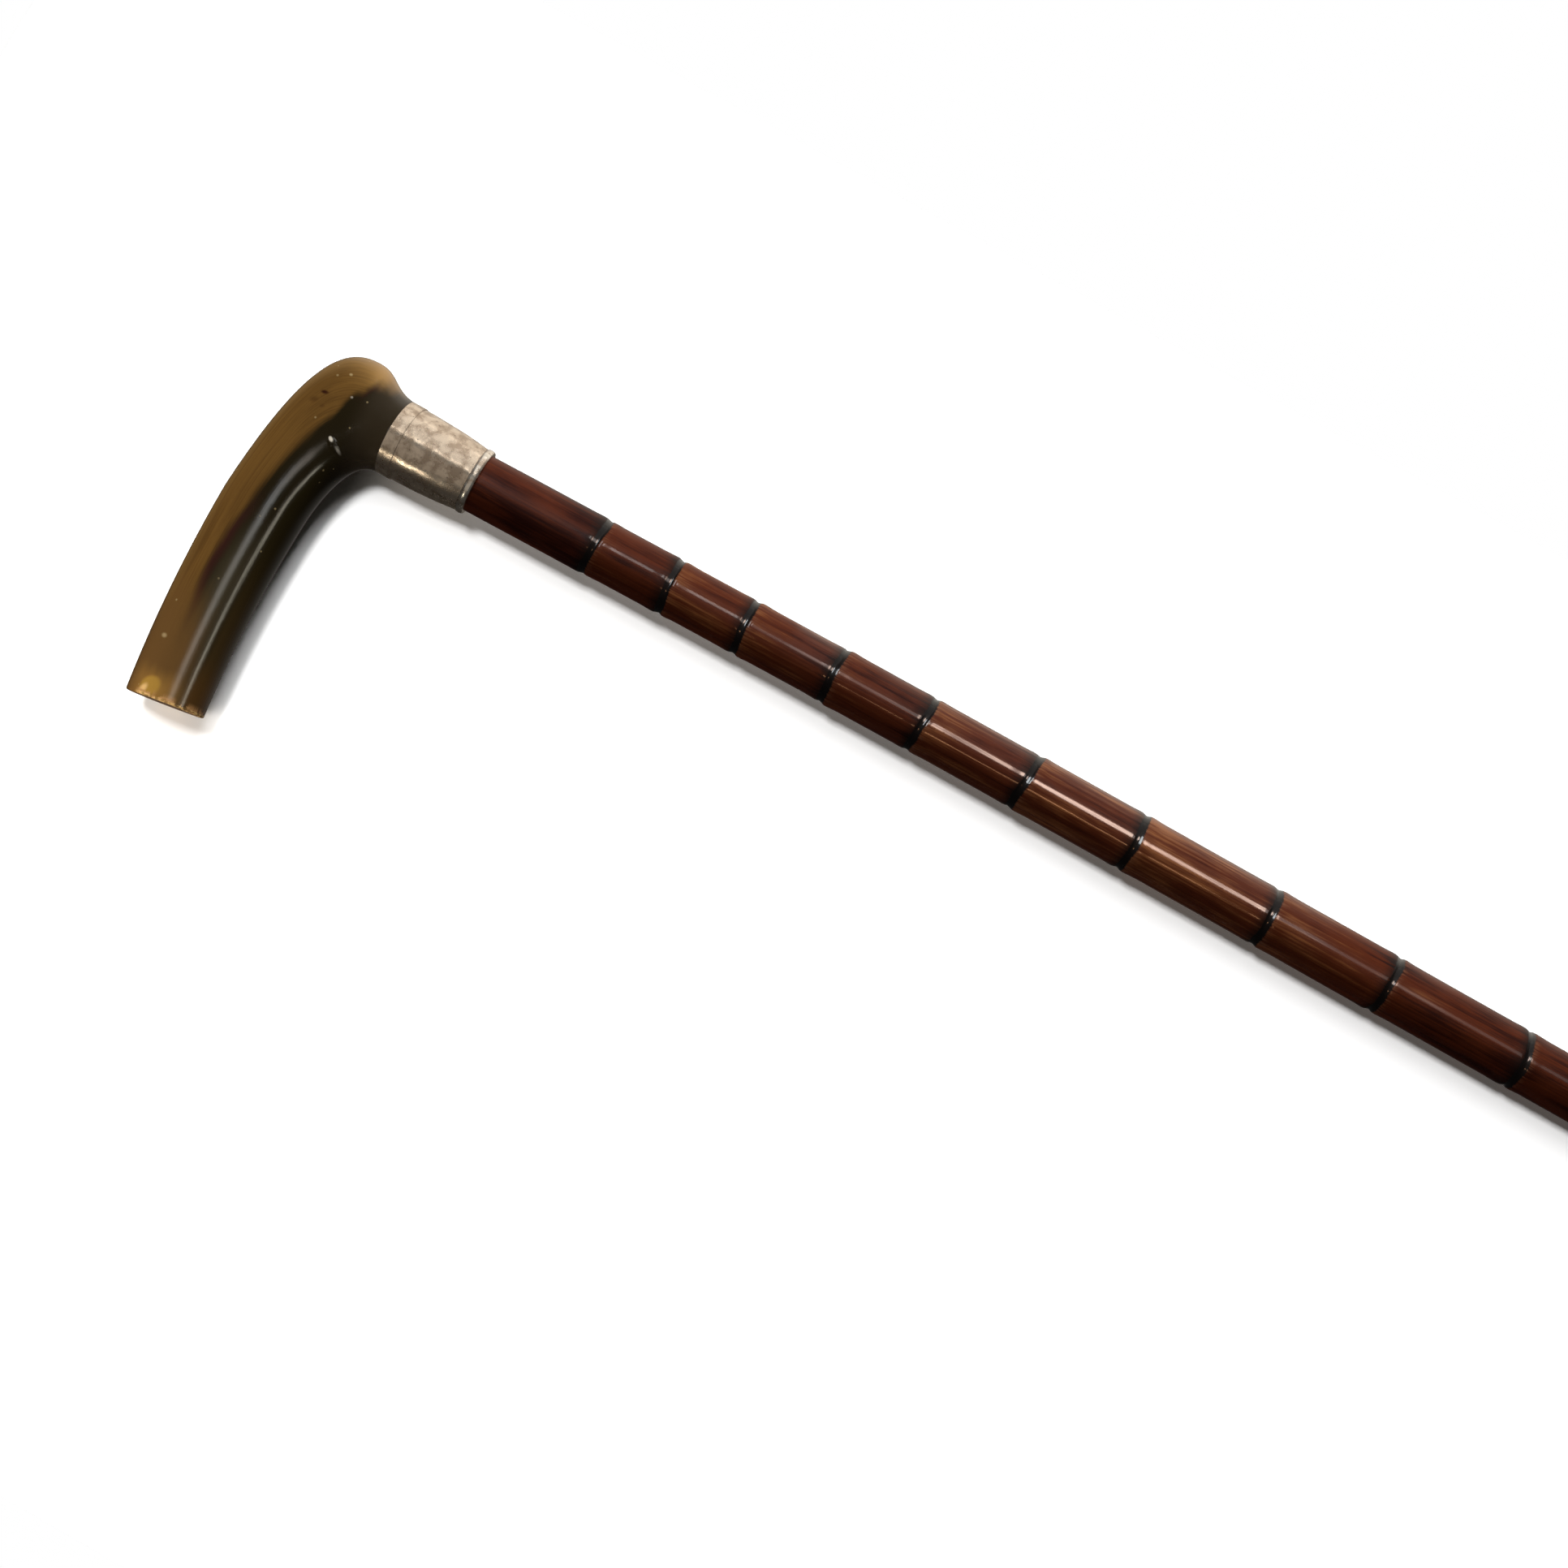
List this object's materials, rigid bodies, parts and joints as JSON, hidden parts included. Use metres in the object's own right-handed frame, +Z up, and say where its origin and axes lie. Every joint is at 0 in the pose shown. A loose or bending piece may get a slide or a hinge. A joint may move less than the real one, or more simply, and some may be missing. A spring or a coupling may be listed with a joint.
{
  "type": "walking cane",
  "caption": "Walking cane with a bowed horn crutch handle, a tapered silver collar, a stepped cane shaft with dark grooved nodes, and a brass ferrule with an iron heel.",
  "frame": {"origin": "centre of the heel's flat ground face", "axes": "+X along the shaft and out of the ground face, the grip points to -Y, +Z up with the cane lying on its side"},
  "size_m": [0.8899, 0.1194, 0.024],
  "materials": {
    "horn": "polished two-tone horn, honey along the back and dark olive inside",
    "steel": "plain drawn rod",
    "silver": "worn silver with brown patina",
    "cane": "red-brown varnish with black-stained nodes",
    "brass": "aged brass",
    "iron": "dark iron, worn bright at the ground"
  },
  "bodies": {
    "root": {"handle": "horn", "handle_dowel": "steel", "collar_sleeve": "silver", "collar_band": "silver", "collar_bead": "silver", "shaft": "cane", "ferrule_sleeve": "brass", "ferrule_heel": "iron", "ferrule_pins": "brass"}
  },
  "joints": []
}
